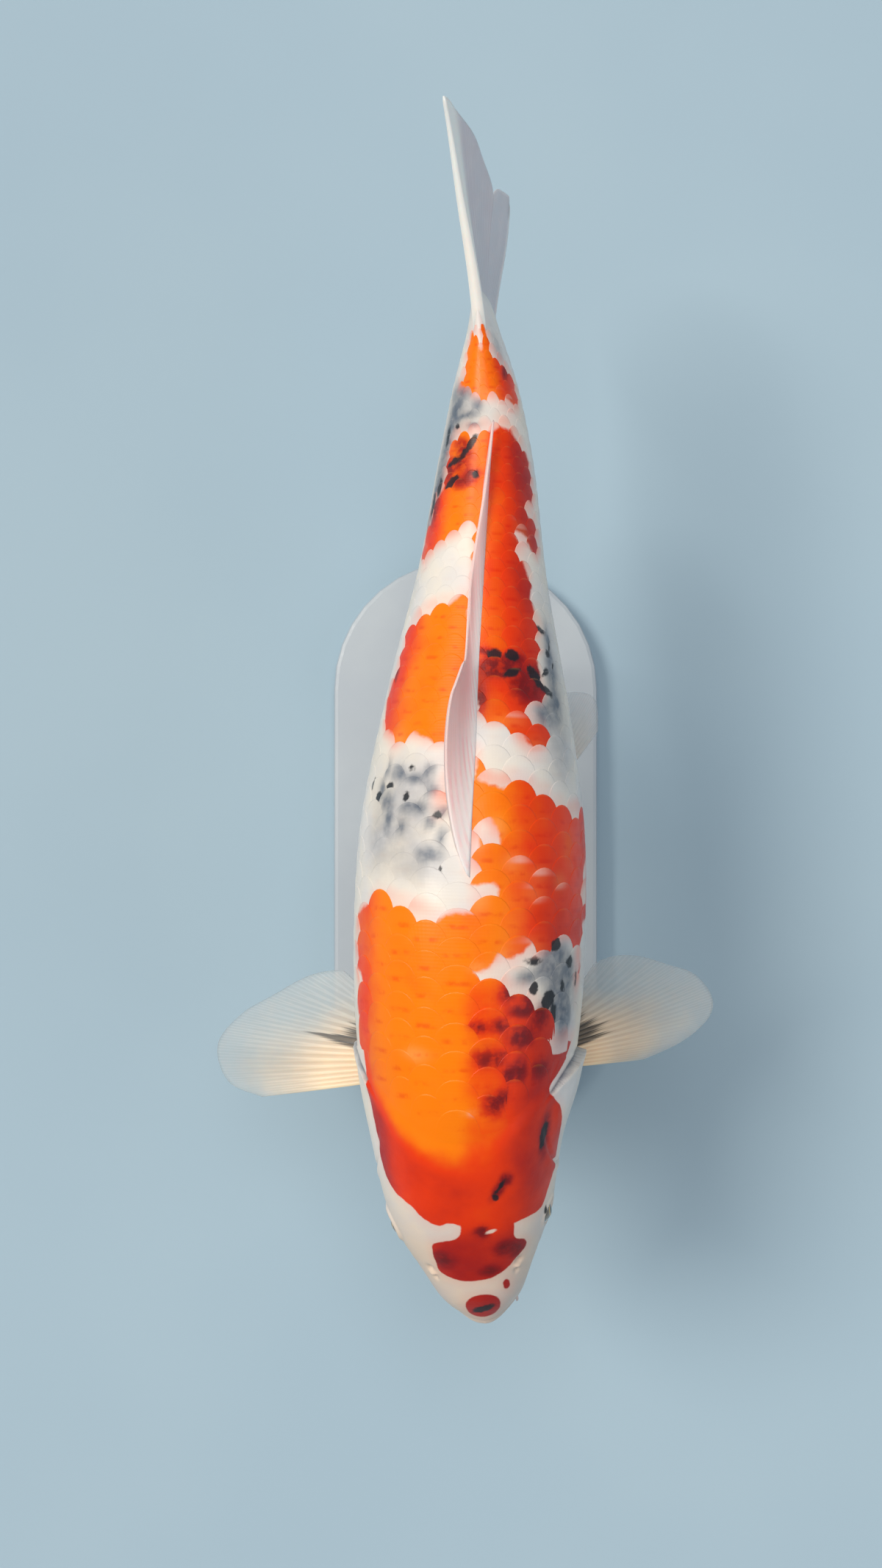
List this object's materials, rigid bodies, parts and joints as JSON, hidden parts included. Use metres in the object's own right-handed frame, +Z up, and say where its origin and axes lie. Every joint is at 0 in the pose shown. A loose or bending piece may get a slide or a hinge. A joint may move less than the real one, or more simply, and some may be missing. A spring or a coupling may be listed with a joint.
{
  "type": "koi carp model",
  "caption": "Life-size koi carp, white with orange-red and grey-black patches, swimming straight with spread pectoral fins, on a low flat stand with two rods.",
  "frame": {"origin": "middle of the underside of the stand's base", "axes": "+Z up, the fish's head towards -Y and its left side towards +X"},
  "size_m": [0.2687, 0.6042, 0.2832],
  "materials": {
    "skin": "glossy wet skin, white with orange-red and grey-black patches",
    "fin": "milky, ribbed with fine rays",
    "eye": "clear gloss over a dark pupil and a pale iris",
    "stand_base": "pale satin",
    "stand_metal": "satin steel"
  },
  "bodies": {
    "root": {"head": "skin", "lower_jaw": "skin", "gill_cover_left": "skin", "gill_cover_right": "skin", "trunk": "skin", "tail_stalk": "skin", "barbel_upper_left": "skin", "barbel_upper_right": "skin", "barbel_corner_left": "skin", "barbel_corner_right": "skin", "dorsal_fin": "fin", "tail_fin": "fin", "anal_fin": "fin", "pectoral_fin_left": "fin", "pectoral_fin_right": "fin", "pelvic_fin_left": "fin", "pelvic_fin_right": "fin", "eye_left": "eye", "eye_right": "eye", "stand_base": "stand_base", "stand_rod_front": "stand_metal", "stand_rod_rear": "stand_metal"}
  },
  "joints": []
}
